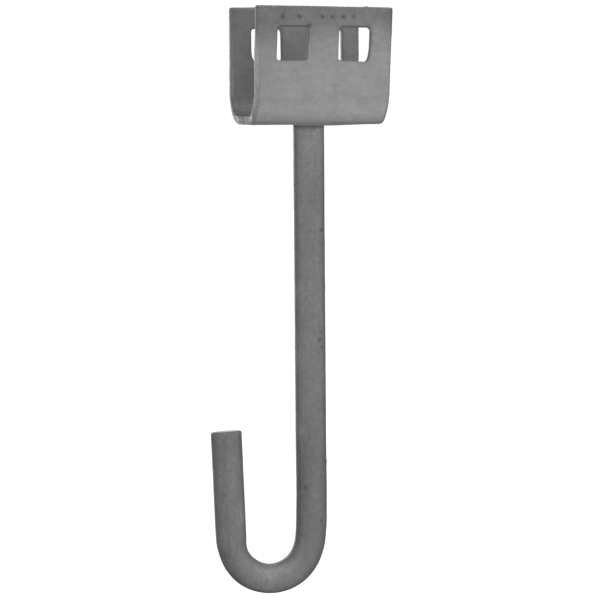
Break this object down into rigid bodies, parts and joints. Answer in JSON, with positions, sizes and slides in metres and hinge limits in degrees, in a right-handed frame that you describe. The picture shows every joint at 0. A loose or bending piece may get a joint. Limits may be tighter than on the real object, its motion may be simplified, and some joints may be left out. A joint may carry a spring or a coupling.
{
  "type": "banded pole hook",
  "caption": "Folded channel bracket with a welded J-hook bar: steel bands through its slots strap it to a pole, and the hook carries a line or a clamp.",
  "frame": {"origin": "midway between the bracket's two free edges, on the rod's axis, where the pole's surface is", "axes": "+Z from the hook towards the pole, +X along the bracket, hook tip on the -X side"},
  "size_m": [0.1119, 0.066, 0.3829],
  "materials": {
    "zinc_on_plate": "hot-dip galvanised 6 mm plate, weathered matt grey",
    "zinc_on_bar": "hot-dip galvanised 20 mm round bar, darker matt grey",
    "zinc_on_weld": "zinc-coated fillet weld"
  },
  "bodies": {
    "root": {"channel_bracket": "zinc_on_plate", "hook_rod": "zinc_on_bar", "weld_bead": "zinc_on_weld"}
  },
  "joints": []
}
